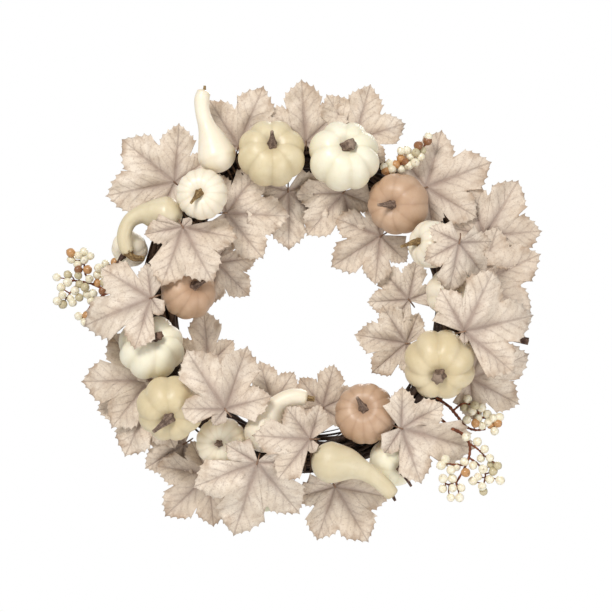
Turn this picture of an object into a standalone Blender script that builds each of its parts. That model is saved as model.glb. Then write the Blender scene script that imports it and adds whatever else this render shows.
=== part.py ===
"""Harvest door wreath: fabric leaves, foam pumpkins and gourds, and berry sprays on a vine ring.

Metres, +Z up. The door is the plane y = 0 and the wreath stands in front of it, toward -Y. The
origin is the top of the hanger loop, where a hook on the door holds the wreath. Everything is laid
on what is already there, from the door outward, so STACK is also the order of assembly.
"""

import math

import bmesh
import bpy
import numpy as np
from mathutils import Matrix, Vector

MM = 0.001

# Driving dimensions
RING_RADIUS = 175 * MM  # centre line of the vine ring
LAYOUT_RADIUS = 175 * MM  # ring radius for which the tables below are written
RING_TUBE = 23 * MM  # radius of the bundle of vines
RING_FLAT = 4 * MM  # depth taken off the back of the ring, so that it lies on the door
LEAF_SCALE = 1.03
LEAF_THICKNESS = 1.0 * MM
FRUIT_SCALE = 1.0
BERRY_RADIUS = 5.2 * MM
SPRAY_WIRE = 1.5 * MM  # radius of a spray's main stem
TWIG_WIRE = 0.9 * MM  # radius of the stalk of one berry
SPRAY_SWING = 8  # degrees each way that a spray turns on its stem
HANGER_WIRE = 0.8 * MM  # radius
HANGER_HEIGHT = 34 * MM  # pivot to the top of the loop
HANGER_WIDTH = 16 * MM
HANGER_SWING = (-80, 15)  # degrees: folded back when off the door, and leaning forward
LAY_GAP = 0.6 * MM  # between an item and what it lies on
STAPLE_GAP = 0.4 * MM  # between the staple and the ring, and round the loop's wire
LOOP_STANDOFF = 1.8 * MM  # between the ring and the loop's lower bar
DOOR_GAP = 0.4 * MM  # between the top of the loop and the door

# How leaves lie
LEAF_DROOP = 16 * MM  # how far a leaf falls back, 100 mm off the ring's centre line
LEAST_DEPTH = 9 * MM  # nothing but the ring and its hanger comes nearer to the door
LEAF_SLOPE = 1.0  # steepest rise where a leaf climbs over something
CELL = 2 * MM  # grid on which the height of the stack is kept
HALF_GRID = 170  # cells from the centre to the grid's edge

RING_CENTRE = RING_TUBE - RING_FLAT  # distance of the tube's centre from the door
RING_FRONT = RING_CENTRE + RING_TUBE
PIVOT_LEAN = math.radians(62)  # where on the tube the hanger is stapled, from the back toward the top
PIVOT_OFF = RING_TUBE + HANGER_WIRE + LOOP_STANDOFF
PIVOT_DEPTH = RING_CENTRE - PIVOT_OFF * math.cos(PIVOT_LEAN)
PIVOT_HEIGHT = RING_RADIUS + PIVOT_OFF * math.sin(PIVOT_LEAN)
HANGER_TOP = PIVOT_HEIGHT + HANGER_HEIGHT

COLOURS = {
    "cream": (0.88, 0.84, 0.72),
    "ivory": (0.85, 0.81, 0.66),
    "ochre": (0.71, 0.64, 0.44),
    "pink": (0.56, 0.36, 0.27),
    "gourd": (0.78, 0.70, 0.50),
    "leaf": (0.70, 0.58, 0.50),
    "berry": (0.86, 0.80, 0.64),
    "vine": (0.045, 0.028, 0.020),
    "wire": (0.45, 0.45, 0.46),
}

# Pumpkins: x, z of the centre, radius, lobes, then where the stem leaves the body (right, up) and
# which way it leans (right, up), with its length and radius. Millimetres.
PUMPKINS = {
    "pumpkin_ochre_top": ((-40, 175), 40, 8, (2, 13), (-5, 9), 17, 4.5, "ochre"),
    "pumpkin_ivory_top": ((44, 172), 42, 8, (3, 14), (3, 7), 14, 5.0, "ivory"),
    "pumpkin_pink_right": ((107, 117), 36, 8, (-12, -2), (-11, 0), 14, 4.0, "pink"),
    "pumpkin_cream_right_upper": ((143, 70), 28, 8, (-21, 4), (-8, -9), 15, 3.6, "cream"),
    "pumpkin_cream_right": ((167, 14), 29, 8, (4, -3), (8, -5), 15, 3.8, "cream"),
    "pumpkin_ivory_right": ((154, -68), 42, 8, (-2, -16), (-4, -6), 14, 5.0, "ivory"),
    "pumpkin_right_hidden": ((212, -26), 24, 8, (18, -10), (12, 0), 26, 3.4, "gourd"),
    "pumpkin_pink_bottom": ((69, -126), 36, 8, (-4, 10), (-6, 9), 14, 4.2, "pink"),
    "pumpkin_cream_bottom_right": ((104, -181), 31, 8, (8, -12), (9, -16), 14, 3.8, "cream"),
    "pumpkin_cream_bottom_left": ((-98, -159), 30, 8, (-3, -1), (-3, 0), 9, 3.6, "cream"),
    "pumpkin_ochre_left": ((-156, -118), 39, 8, (1, -15), (-20, -12), 15, 5.0, "ochre"),
    "pumpkin_ivory_left": ((-179, -49), 39, 8, (5, 17), (-6, -6), 12, 4.6, "ivory"),
    "pumpkin_pink_left": ((-137, 16), 33, 8, (12, 9), (12, 3), 15, 3.8, "pink"),
    "pumpkin_cream_top_left": ((-120, 128), 30, 8, (-3, 1), (-6, -8), 11, 3.4, "cream"),
    "pumpkin_left_hidden": ((-207, 66), 22, 8, (-9, -11), (-6, -8), 12, 3.0, "gourd"),
    "pumpkin_bottom_hidden": ((-51, -225), 20, 8, (-10, -13), (-6, -12), 14, 2.8, "gourd"),
}

# A pumpkin's rows, from the top of its stem to the middle of its bottom.
PUMPKIN_ROWS = 8
STEM_ROWS = (0, 0.75, 1.25)  # of the stem: shares of its radius
STEM_FOOT = 2  # the row where the stem leaves the body
BODY_LATITUDES = (52, 20, -12, -42, -68)  # of the body, in degrees
BODY_FULLNESS = 0.8  # under 1, the body is fuller than a sphere toward its crown and bottom
BODY_SQUAT = 0.82
CROWN_HEIGHT = 0.66  # shares of the body's radius
BOTTOM_DEPTH = 0.62
CREASE_DEPTH = 0.07

# Gourds: points (x, z, radius) from the middle of the body along the neck to the stem. Millimetres.
GOURDS = {
    "gourd_cream_top_left": (
        ((-104, 176, 22.5), (-109, 192, 17), (-115, 208, 10.5), (-120, 224, 8.6), (-121, 238, 9),
         (-119, 247, 8.2), (-118, 251, 4), (-117, 257, 2.2)), "cream"),
    "gourd_ochre_bottom": (
        ((30, -182, 24), (48, -184, 19.5), (64, -190, 12.5), (79, -199, 10), (91, -209, 9.6),
         (99, -218, 8.5), (102, -223, 4), (106, -229, 2.6)), "gourd"),
    "gourd_cream_bottom": (
        ((-48, -147, 23), (-43, -131, 18), (-35, -118, 12), (-23, -109, 9.5), (-11, -106, 9),
         (-2, -107, 7.5), (3, -107.5, 3.6), (11, -108, 2.6)), "cream"),
    "gourd_ochre_left": (
        ((-166, 106, 22), (-180, 107, 17.5), (-193, 105, 11.5), (-205, 97, 8.8), (-211, 83, 8.4),
         (-210, 70, 8.2), (-207, 62, 7), (-201, 55, 3.6), (-188, 54, 2.8)), "gourd"),
}

# Leaves: x, z of the point where the petiole joins the blade, heading of the middle lobe in degrees
# from +X toward +Z, and that lobe's length. Millimetres.
LEAVES = {
    "leaf_01": (-154, 144, 134, 80),
    "leaf_02": (-79, 186, 69, 72),
    "leaf_03": (0, 191, 93, 72),
    "leaf_04": (57, 193, 72, 68),
    "leaf_05": (141, 138, 22, 78),
    "leaf_06": (210, 81, 59, 76),
    "leaf_07": (204, 27, 22, 77),
    "leaf_08": (174, 71, 250, 58),
    "leaf_09": (181, -30, 14, 84),
    "leaf_10": (192, -86, 22, 74),
    "leaf_11": (118, -45, 172, 58),
    "leaf_12": (121, 6, 130, 52),
    "leaf_13": (44, 132, 232, 64),
    "leaf_14": (88, 81, 212, 64),
    "leaf_15": (-21, 134, 270, 66),
    "leaf_16": (-94, 108, 0, 74),
    "leaf_17": (-142, 90, 299, 70),
    "leaf_18": (-106, 50, 315, 54),
    "leaf_19": (-178, 8, 202, 86),
    "leaf_20": (-183, -88, 180, 81),
    "leaf_21": (-182, -110, 245, 72),
    "leaf_22": (-143, -163, 212, 52),
    "leaf_23": (-114, -199, 222, 70),
    "leaf_24": (-56, -181, 254, 88),
    "leaf_25": (34, -213, 300, 72),
    "leaf_26": (5, -154, 178, 63),
    "leaf_27": (-92, -119, 125, 80),
    "leaf_28": (-114, -70, 97, 62),
    "leaf_29": (-40, -118, 108, 52),
    "leaf_30": (20, -121, 74, 50),
    "leaf_31": (110, -142, 342, 88),
}

# A leaf's lobes: angle from the middle lobe in degrees, and reach as a share of its length.
LOBES = ((-106, 0.64), (-51, 0.88), (0, 1.0), (51, 0.88), (106, 0.64))
# Lobes held short by a fruit beside them: share of the usual reach, in the order of LOBES.
SHORT_LOBES = {
    "leaf_09": (0.25, 1, 1, 1, 1),
    "leaf_17": (0.95, 1.1, 1, 1, 0.3),
    "leaf_19": (0.7, 0.9, 1, 0.75, 0.4),
    "leaf_24": (0.75, 1, 1, 1, 0.8),
    "leaf_26": (1, 1, 1, 1, 0.4),
    "leaf_27": (1, 1, 1, 0.65, 0.4),
    "leaf_28": (0.6, 0.7, 1, 0.9, 1),
    "leaf_31": (0.6, 0.85, 1, 0.7, 0.85),
}
# Teeth of one side of a lobe: along and across its axis, as shares of its reach.
TEETH = ((0.72, 0.27),)
NOTCH_REACH = 0.60  # of the notch between two lobes
BASE_NOTCH = (148, 0.44)  # the notch beside the petiole: angle, and reach
PETIOLE_LENGTH = 13 * MM
PETIOLE_HALF_WIDTH = 1.3 * MM
LEAF_RINGS = 2  # cuts across the blade between the petiole and the edge

# Sprays: base and bend of the stem, and clusters (x, z, half width, half height, berries). Millimetres.
SPRAYS = {
    "spray_left": (((-204, 18), (-228, 22), (-250, 20)),
                   ((-264, 55, 12, 8, 4), (-279, 18, 13, 16, 5), (-249, 22, 13, 12, 4),
                    (-259, -15, 6, 4, 2))),
    "spray_top_right": (((104, 160), (114, 165), (130, 178)),
                        ((109, 168, 15, 7, 5), (137, 186, 9, 11, 4))),
    "spray_right_upper": (((168, -119), (182, -131), (200, -133)),
                          ((194, -120, 7, 8, 3), (215, -136, 11, 8, 5))),
    "spray_right_lower": (((168, -142), (183, -160), (190, -182)),
                          ((167, -203, 11, 18, 5), (212, -191, 13, 15, 5), (194, -163, 6, 6, 2))),
}

BERRY_LAYER = 3.2  # a cluster's berries lie in two layers, this far before and behind its middle

# From the door outward.
STACK = (
    "pumpkin_bottom_hidden", "pumpkin_left_hidden", "pumpkin_right_hidden",
    "leaf_22", "leaf_21", "leaf_29", "leaf_30", "leaf_28", "leaf_18", "leaf_15", "leaf_16",
    "leaf_03", "leaf_04", "leaf_06", "leaf_12", "spray_left",
    "leaf_13", "leaf_07", "leaf_10", "leaf_20", "leaf_23", "leaf_25", "leaf_05", "leaf_14",
    "leaf_11", "leaf_02", "leaf_01", "spray_top_right",
    "gourd_ochre_left", "gourd_cream_top_left", "pumpkin_ochre_top", "pumpkin_ivory_top",
    "pumpkin_pink_right", "pumpkin_cream_right_upper", "pumpkin_cream_right",
    "pumpkin_ivory_right", "pumpkin_ivory_left", "pumpkin_pink_left", "pumpkin_cream_top_left",
    "pumpkin_ochre_left", "pumpkin_cream_bottom_left", "gourd_cream_bottom",
    "pumpkin_cream_bottom_right", "gourd_ochre_bottom", "pumpkin_pink_bottom",
    "leaf_19", "leaf_17", "leaf_08", "leaf_09", "leaf_27", "leaf_24", "leaf_26", "leaf_31",
    "spray_right_lower", "spray_right_upper",
)


# Scene and materials

def clear_scene():
    for obj in list(bpy.data.objects):
        bpy.data.objects.remove(obj, do_unlink=True)


def new_collection(name):
    collection = bpy.data.collections.new(name)
    bpy.context.scene.collection.children.link(collection)
    return collection


def material(name, roughness=0.6, metallic=0.0):
    found = bpy.data.materials.get(name)
    if found:
        return found
    made = bpy.data.materials.new(name)
    made.use_nodes = True
    shader = made.node_tree.nodes["Principled BSDF"]
    shader.inputs["Base Color"].default_value = (*COLOURS[name.split("__")[-1]], 1)
    shader.inputs["Roughness"].default_value = roughness
    shader.inputs["Metallic"].default_value = metallic
    return made


def add_object(name, data, collection, colour, roughness=0.6, metallic=0.0):
    obj = bpy.data.objects.new(name, data)
    collection.objects.link(obj)
    data.materials.append(material(f"{name}__{colour}", roughness, metallic))
    return obj


def smooth(mesh, angle=50):
    mesh.shade_smooth()
    mesh.set_sharp_from_angle(angle=math.radians(angle))


def ring_shift(x, z):
    """How far an item written at x, z (millimetres) moves outward when the ring's radius changes."""
    return Vector((x, z)).normalized() * (RING_RADIUS - LAYOUT_RADIUS)


def ring_place(x, z):
    return Vector((x, z)) * MM + ring_shift(x, z)


# The height of the stack

class Stack:
    """How far from the door the wreath already reaches, over a grid on the door."""

    def __init__(self):
        self.depth = np.full((2 * HALF_GRID, 2 * HALF_GRID), LEAST_DEPTH)

    def cells(self, points):
        """Grid row and column of points given as (x, depth, z)."""
        index = np.floor(points[:, [0, 2]] / CELL).astype(int) + HALF_GRID
        return np.clip(index, 1, 2 * HALF_GRID - 2)

    def cover(self, points):
        index = self.cells(points)
        np.maximum.at(self.depth, (index[:, 0], index[:, 1]), points[:, 1])

    def under(self, points):
        """The stack's height under each point, as the highest of the cell and its neighbours."""
        index = self.cells(points)
        near = [self.depth[index[:, 0] + i, index[:, 1] + j] for i in (-1, 0, 1) for j in (-1, 0, 1)]
        return np.max(near, axis=0)


def mesh_arrays(obj):
    """Points as (x, depth, z) and triangles of the object as evaluated, in its own frame."""
    evaluated = obj.evaluated_get(bpy.context.evaluated_depsgraph_get())
    mesh = evaluated.to_mesh()
    mesh.calc_loop_triangles()
    points = np.array([v.co[:] for v in mesh.vertices])
    faces = np.array([t.vertices[:] for t in mesh.loop_triangles])
    evaluated.to_mesh_clear()
    points[:, 1] *= -1
    return points, faces


def samples(points, faces, spacing=0.7 * CELL):
    """Points over every triangle, closer together than a cell, and each one's triangle."""
    found, owner = [], []
    corners = points[faces]
    sides = np.linalg.norm(corners - np.roll(corners, 1, axis=1), axis=2).max(axis=1)
    for index, (triangle, side) in enumerate(zip(corners, sides)):
        n = int(side / spacing) + 1
        u, v = np.meshgrid(np.arange(n + 1), np.arange(n + 1))
        inside = u + v <= n
        share = np.stack([u[inside], v[inside], (n - u - v)[inside]], axis=1) / n
        found.append(share @ triangle)
        owner.append(np.full(len(share), index))
    return np.concatenate(found), np.concatenate(owner)


def lay(obj, stack, surface):
    """Moves the object out from the door until the surface clears the stack, and adds it to the stack."""
    out = (stack.under(surface) - surface[:, 1]).max() + LAY_GAP
    surface = surface + [0, out, 0]
    stack.cover(surface)
    obj.location.y -= out


# The ring and its hanger

def make_ring(parts, cutters):
    bpy.ops.mesh.primitive_torus_add(
        major_segments=40, minor_segments=12, major_radius=RING_RADIUS, minor_radius=RING_TUBE,
        location=(0, -RING_CENTRE, 0), rotation=(math.pi / 2, 0, 0))
    ring = bpy.context.active_object
    ring.name = "vine_ring"
    ring.data.materials.append(material("vine_ring__vine", 0.9))
    move_to(ring, parts)
    smooth(ring.data, 35)
    bpy.ops.mesh.primitive_cube_add(size=1, location=(0, RING_TUBE / 2, 0))
    cutter = bpy.context.active_object
    cutter.name = "ring_back_cutter"
    cutter.scale = (3 * RING_RADIUS, RING_TUBE, 3 * RING_RADIUS)
    cutter.hide_render = True
    cutter.display_type = "WIRE"
    move_to(cutter, cutters)
    cut = ring.modifiers.new("flat_back", "BOOLEAN")
    cut.operation = "DIFFERENCE"
    cut.object = cutter
    return ring


def move_to(obj, collection):
    for owner in list(obj.users_collection):
        owner.objects.unlink(obj)
    collection.objects.link(obj)


def wire(name, points, radius, collection, colour, cyclic=False, resolution=2):
    """A wire through the points, which are (x, depth, z)."""
    curve = bpy.data.curves.new(name, "CURVE")
    curve.dimensions = "3D"
    curve.bevel_depth = radius
    curve.bevel_resolution = resolution
    curve.use_fill_caps = not cyclic
    spline = curve.splines.new("POLY")
    spline.points.add(len(points) - 1)
    for point, (x, depth, z) in zip(spline.points, points):
        point.co = (x, -depth, z, 1)
    spline.use_cyclic_u = cyclic
    return add_object(name, curve, collection, colour, 0.35, 0.9)


def around_pivot(reach, angle):
    """A point at this reach from the hanger's pivot; angle 0 points straight off the tube."""
    turned = PIVOT_LEAN + angle
    return (0, PIVOT_DEPTH - reach * math.cos(turned), PIVOT_HEIGHT + reach * math.sin(turned))


def make_staple(parts):
    """A hoop of wire over the loop's lower bar, its two feet on the ring."""
    bend = 2 * HANGER_WIRE + STAPLE_GAP
    foot = math.hypot(PIVOT_OFF - RING_TUBE - HANGER_WIRE - STAPLE_GAP, bend)
    foot_angle = math.pi - math.atan2(bend, PIVOT_OFF - RING_TUBE - HANGER_WIRE - STAPLE_GAP)
    arc = [around_pivot(bend, math.radians(a)) for a in range(-90, 91, 30)]
    points = [around_pivot(foot, -foot_angle), *arc, around_pivot(foot, foot_angle)]
    return wire("hanger_staple", points, HANGER_WIRE * 0.9, parts, "wire")


def make_hanger(parts):
    """A loop of wire that turns in the staple and leans back on the door at its top."""
    half = HANGER_WIDTH / 2
    top_depth = HANGER_WIRE + DOOR_GAP
    outline = [(-half * 0.9, 0), (half * 0.9, 0)]
    for step in range(9):
        angle = math.radians(step * 22.5)
        outline.append((half * math.cos(angle), HANGER_HEIGHT - half * (1 - math.sin(angle))))
    points = []
    for x, up in outline:
        depth = (top_depth - PIVOT_DEPTH) * up / HANGER_HEIGHT
        points.append((x, depth, up))
    loop = wire("hanger_loop", points, HANGER_WIRE, parts, "wire", cyclic=True)
    loop.location = (0, -PIVOT_DEPTH, PIVOT_HEIGHT)
    return loop


def swept(points, pivot, axis, degrees):
    """The points turned about an axis through the pivot, at steps across the range."""
    turned = []
    offset = points - pivot
    for angle in np.radians(np.linspace(*degrees, 9)):
        turn = np.array(Matrix.Rotation(angle, 3, axis))
        turned.append(offset @ turn.T + pivot)
    return np.concatenate(turned)


# Pumpkins and gourds

def crown_axis(radius, crown):
    """The way a pumpkin's axis points, from where its stem leaves the body."""
    right, up = crown[0] / (0.92 * radius), crown[1] / (0.92 * radius)
    toward = math.sqrt(max(0.0, 1 - right * right - up * up))
    return Vector((right, -toward, up)).normalized()


def pumpkin_point(row, around, radius, lobes, stem_length, stem_radius):
    """A point of a pumpkin and its stem about the pumpkin's axis; the rows run down from the stem's top."""
    if row < len(STEM_ROWS):
        wide = STEM_ROWS[row] * stem_radius
        height = CROWN_HEIGHT * radius + (stem_length if row < STEM_FOOT else 0)
    elif row < PUMPKIN_ROWS:
        latitude = math.radians(BODY_LATITUDES[row - len(STEM_ROWS)])
        in_crease = round(around / (math.pi / lobes)) % 2
        wide = radius * math.cos(latitude) ** BODY_FULLNESS * (1 - CREASE_DEPTH * in_crease)
        height = BODY_SQUAT * radius * math.sin(latitude)
    else:
        wide, height = 0, -BOTTOM_DEPTH * radius
    return Vector((wide * math.cos(around), wide * math.sin(around), height))


def make_pumpkin(name, parts):
    centre, radius, lobes, crown, lean, stem_length, stem_radius, colour = PUMPKINS[name]
    turn = crown_axis(radius, crown).to_track_quat("Z", "Y").to_matrix()
    radius, stem_length, stem_radius = (v * MM * FRUIT_SCALE for v in (radius, stem_length, stem_radius))
    lean = Vector((lean[0], 0, lean[1])) * MM * FRUIT_SCALE
    bm = bmesh.new()
    bmesh.ops.create_uvsphere(bm, u_segments=2 * lobes, v_segments=PUMPKIN_ROWS, radius=1)
    for vert in bm.verts:
        row = round(math.acos(max(-1, min(1, vert.co.z))) / math.pi * PUMPKIN_ROWS)
        around = math.atan2(vert.co.y, vert.co.x)
        point = pumpkin_point(row, around, radius, lobes, stem_length, stem_radius)
        vert.co = turn @ point + (lean if row < STEM_FOOT else Vector())
    mesh = bpy.data.meshes.new(name)
    bm.to_mesh(mesh)
    bm.free()
    smooth(mesh, 60)
    body = add_object(name, mesh, parts, colour, 0.45)
    place = ring_place(*centre)
    body.location = (place.x, 0, place.y)
    return body


def make_gourd(name, parts):
    """A round body that tapers into a bent neck and a short stem, as one tube of changing radius."""
    points, colour = GOURDS[name]
    first, second = Vector(points[0][:2]), Vector(points[1][:2])
    body_radius = points[0][2]
    back = (first - second).normalized()
    start = [(*(first + back * body_radius * math.sin(a)), body_radius * math.cos(a))
             for a in np.radians((75, 50, 25))]
    curve = bpy.data.curves.new(name, "CURVE")
    curve.dimensions = "3D"
    curve.bevel_depth = 1
    curve.bevel_resolution = 3
    curve.use_fill_caps = True
    spline = curve.splines.new("POLY")
    line = [*start, *points]
    spline.points.add(len(line) - 1)
    for point, (x, z, radius) in zip(spline.points, line):
        off = (Vector((x, z)) - first) * MM * FRUIT_SCALE
        point.co = (off.x, 0, off.y, 1)
        point.radius = radius * MM * FRUIT_SCALE
    body = add_object(name, curve, parts, colour, 0.45)
    place = ring_place(*first)
    body.location = (place.x, 0, place.y)
    return body


# Leaves

def leaf_outline(name):
    """The leaf's edge for a middle lobe of length 1 along +X, counterclockwise from the petiole."""
    edge = []
    shares = SHORT_LOBES.get(name, (1,) * len(LOBES))
    lobes = [(angle, reach * share) for (angle, reach), share in zip(LOBES, shares)]
    for (angle, reach), (next_angle, next_reach) in zip(lobes, (*lobes[1:], (None, None))):
        axis = Vector((math.cos(math.radians(angle)), math.sin(math.radians(angle))))
        across = Vector((-axis.y, axis.x))
        edge += [(axis * s - across * t) * reach for s, t in TEETH]
        edge.append(axis * reach)
        edge += [(axis * s + across * t) * reach for s, t in reversed(TEETH)]
        if next_angle is not None:
            middle = math.radians((angle + next_angle) / 2)
            deep = NOTCH_REACH * min(reach, next_reach)
            edge.append(Vector((math.cos(middle), math.sin(middle))) * deep)
    angle, reach = BASE_NOTCH
    low, high = (reach * min(1, share) for share in (shares[0], shares[-1]))
    along, across = math.cos(math.radians(angle)), math.sin(math.radians(angle))
    return [Vector((along, -across)) * low, *edge, Vector((along, across)) * high]


def leaf_cage(name, length):
    """The flat blade with its petiole, as a fan about the junction, in the (x, z) plane."""
    half = PETIOLE_HALF_WIDTH
    petiole = [(-PETIOLE_LENGTH, half), (-PETIOLE_LENGTH, -half)]
    edge = [point * length for point in leaf_outline(name)] + [Vector(point) for point in petiole]
    bm = bmesh.new()
    face = bm.faces.new([bm.verts.new((point.x, 0, point.y)) for point in edge])
    poked = bmesh.ops.poke(bm, faces=[face])
    middle = poked["verts"][0]
    middle.co = (0, 0, 0)
    bmesh.ops.subdivide_edges(bm, edges=list(middle.link_edges), cuts=LEAF_RINGS)
    bmesh.ops.triangulate(bm, faces=bm.faces[:])
    return bm


def resting_depth(x, z):
    """Depth of a leaf that lies on the bare ring and droops past its edges."""
    off = (np.hypot(x, z) - RING_RADIUS) / (100 * MM)
    return np.maximum(RING_FRONT + LEAF_THICKNESS - LEAF_DROOP * off * off, LEAST_DEPTH)


def drape(points, faces, stack):
    """Depth of each corner of a leaf, so that it rests on the stack and climbs no steeper than its slope."""
    flat = points.copy()
    flat[:, 1] = 0
    under, owner = samples(flat, faces)
    corners = flat[faces[owner]]
    plateau = np.linalg.norm(corners - under[:, None], axis=2).max(axis=1)
    half = 0.5 * LEAF_THICKNESS * math.hypot(1, LEAF_SLOPE)
    height = stack.under(under) + half + LAY_GAP
    away = np.linalg.norm(flat[:, None] - under[None], axis=2)
    needed = (height - LEAF_SLOPE * np.maximum(away - plateau, 0)).max(axis=1)
    return np.maximum(resting_depth(points[:, 0], points[:, 2]), needed)


def make_leaf(name, parts, stack):
    x, z, heading, length = LEAVES[name]
    bm = leaf_cage(name, length * MM * LEAF_SCALE)
    place = ring_place(x, z)
    turn = Matrix.Rotation(-math.radians(heading), 4, "Y")
    bm.transform(Matrix.Translation((place.x, 0, place.y)) @ turn)
    mesh = bpy.data.meshes.new(name)
    bm.to_mesh(mesh)
    bm.free()
    points = np.array([v.co[:] for v in mesh.vertices])
    faces = np.array([p.vertices[:] for p in mesh.polygons])
    points[:, 1] = drape(points, faces, stack)
    for vert, depth in zip(mesh.vertices, points[:, 1]):
        vert.co.y = -depth
    leaf = add_object(name, mesh, parts, "leaf", 0.85)
    thick = leaf.modifiers.new("thickness", "SOLIDIFY")
    thick.thickness = LEAF_THICKNESS
    thick.offset = 0
    half = 0.5 * LEAF_THICKNESS * math.hypot(1, LEAF_SLOPE)
    stack.cover(samples(points, faces)[0] + [0, half, 0])
    return leaf


# Berry sprays

def cluster(x, z, half_width, half_height, count):
    """Places of a cluster's berries as (x, depth, z), spread as seeds are in a sunflower."""
    golden = math.pi * (3 - math.sqrt(5))
    for index in range(count):
        reach = math.sqrt((index + 0.5) / count)
        angle = golden * index
        depth = BERRY_LAYER * (1 if index % 2 else -1)
        yield (x + half_width * reach * math.cos(angle), depth, z + half_height * reach * math.sin(angle))


def rod(start, end, radius, sides=5):
    """A thin cone-ended rod between two points, as a mesh."""
    start, end = Vector(start), Vector(end)
    line = end - start
    bm = bmesh.new()
    turn = line.to_track_quat("Z", "Y").to_matrix().to_4x4()
    bmesh.ops.create_cone(
        bm, cap_ends=True, segments=sides, radius1=radius, radius2=radius, depth=line.length,
        matrix=Matrix.Translation((start + end) / 2) @ turn)
    return bm


def add_helper(name, bm, cutters):
    mesh = bpy.data.meshes.new(name)
    bm.to_mesh(mesh)
    bm.free()
    helper = bpy.data.objects.new(name, mesh)
    cutters.objects.link(helper)
    helper.hide_render = True
    helper.display_type = "WIRE"
    return helper


def make_spray(name, parts, cutters):
    """A stem with its berries on stalks, joined into one solid. Its origin is the base of the stem."""
    line, clusters = SPRAYS[name]
    base = Vector((line[0][0], 0, line[0][1])) * MM
    stem = [Vector((x, 0, z)) * MM - base for x, z in line]
    shapes = bpy.data.collections.new(f"{name}_shapes")
    cutters.children.link(shapes)
    add_helper(f"{name}_stem", rod(stem[1], stem[2], SPRAY_WIRE, 6), shapes)
    for number, berries in enumerate(clusters):
        for index, (x, depth, z) in enumerate(cluster(*berries)):
            centre = Vector((x, -depth, z)) * MM - base
            start = min(stem[1:], key=lambda point: (point - centre).length)
            tag = f"{name}_{number}_{index}"
            add_helper(f"{tag}_stalk", rod(start, centre, TWIG_WIRE), shapes)
            ball = bmesh.new()
            bmesh.ops.create_icosphere(
                ball, subdivisions=1, radius=BERRY_RADIUS, matrix=Matrix.Translation(centre))
            add_helper(f"{tag}_berry", ball, shapes)
    bm = rod(stem[0], stem[1], SPRAY_WIRE, 6)
    mesh = bpy.data.meshes.new(name)
    bm.to_mesh(mesh)
    bm.free()
    spray = add_object(name, mesh, parts, "berry", 0.5)
    place = ring_place(*line[0])
    spray.location = (place.x, 0, place.y)
    for shape in shapes.objects:
        shape.parent = spray
    join = spray.modifiers.new("berries", "BOOLEAN")
    join.operation = "UNION"
    join.operand_type = "COLLECTION"
    join.collection = shapes
    return spray


# Assembly

def lay_item(name, parts, cutters, stack):
    if name in LEAVES:
        make_leaf(name, parts, stack)
        return
    if name in PUMPKINS:
        item = make_pumpkin(name, parts)
    elif name in GOURDS:
        item = make_gourd(name, parts)
    else:
        item = make_spray(name, parts, cutters)
    place = np.array(item.location)
    surface = samples(*mesh_arrays(item))[0] + place * (1, -1, 1)
    if name in SPRAYS:
        surface = swept(surface, place, "Y", (-SPRAY_SWING, SPRAY_SWING))
    lay(item, stack, surface)


def reserve_hanger(stack, staple, hanger):
    """Keeps what is laid later clear of the staple, and of the loop as it leans forward."""
    stack.cover(samples(*mesh_arrays(staple))[0])
    pivot = np.array((0, PIVOT_DEPTH, PIVOT_HEIGHT))
    surface = samples(*mesh_arrays(hanger))[0] + pivot
    # depth runs against Y, so the turn about X changes sign
    stack.cover(swept(surface, pivot, "X", (0, -HANGER_SWING[1])) + [0, LAY_GAP, 0])


def main():
    clear_scene()
    parts = new_collection("harvest_door_wreath")
    cutters = new_collection("cutters")
    stack = Stack()
    ring = make_ring(parts, cutters)
    points, faces = mesh_arrays(ring)
    # the ring's own axis is Z before it is turned to face the door
    upright = np.stack([points[:, 0], RING_CENTRE + points[:, 2], points[:, 1]], axis=1)
    stack.cover(samples(upright, faces)[0])
    reserve_hanger(stack, make_staple(parts), make_hanger(parts))
    for name in STACK:
        lay_item(name, parts, cutters, stack)
    hook = bpy.data.objects.new("hook_point", None)
    bpy.context.scene.collection.objects.link(hook)
    for obj in [*parts.objects, *cutters.objects]:
        obj.location.z -= HANGER_TOP
        obj.parent = hook


main()
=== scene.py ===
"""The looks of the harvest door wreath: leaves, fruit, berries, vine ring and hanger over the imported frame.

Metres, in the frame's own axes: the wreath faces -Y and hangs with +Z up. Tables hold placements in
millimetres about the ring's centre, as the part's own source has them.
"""

import math

import bpy
import numpy as np
from mathutils import Matrix, Vector, noise


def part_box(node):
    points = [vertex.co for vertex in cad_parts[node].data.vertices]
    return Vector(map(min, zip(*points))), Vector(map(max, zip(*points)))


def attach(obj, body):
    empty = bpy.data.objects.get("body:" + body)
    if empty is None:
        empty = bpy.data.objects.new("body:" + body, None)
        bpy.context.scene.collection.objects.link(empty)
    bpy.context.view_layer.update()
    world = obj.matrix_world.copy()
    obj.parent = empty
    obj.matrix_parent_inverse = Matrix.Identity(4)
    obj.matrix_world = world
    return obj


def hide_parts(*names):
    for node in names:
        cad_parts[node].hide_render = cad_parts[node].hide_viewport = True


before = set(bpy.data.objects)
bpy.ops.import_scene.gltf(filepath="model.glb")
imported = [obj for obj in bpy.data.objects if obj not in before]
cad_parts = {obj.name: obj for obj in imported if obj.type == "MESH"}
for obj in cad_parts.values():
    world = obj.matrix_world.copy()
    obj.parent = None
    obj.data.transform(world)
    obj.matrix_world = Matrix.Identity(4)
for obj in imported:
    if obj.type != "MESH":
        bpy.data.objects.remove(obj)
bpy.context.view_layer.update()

MM = 0.001
ring_low, ring_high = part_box("vine_ring")
CENTRE = (ring_low + ring_high) / 2
CENTRE.y = 0
RING_OUTER = (ring_high.x - ring_low.x) / 2
RING_DEPTH = ring_high.y - ring_low.y
RING_TUBE = 23 * MM
RING_RADIUS = RING_OUTER - RING_TUBE
ROOT = "wreath"

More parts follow.
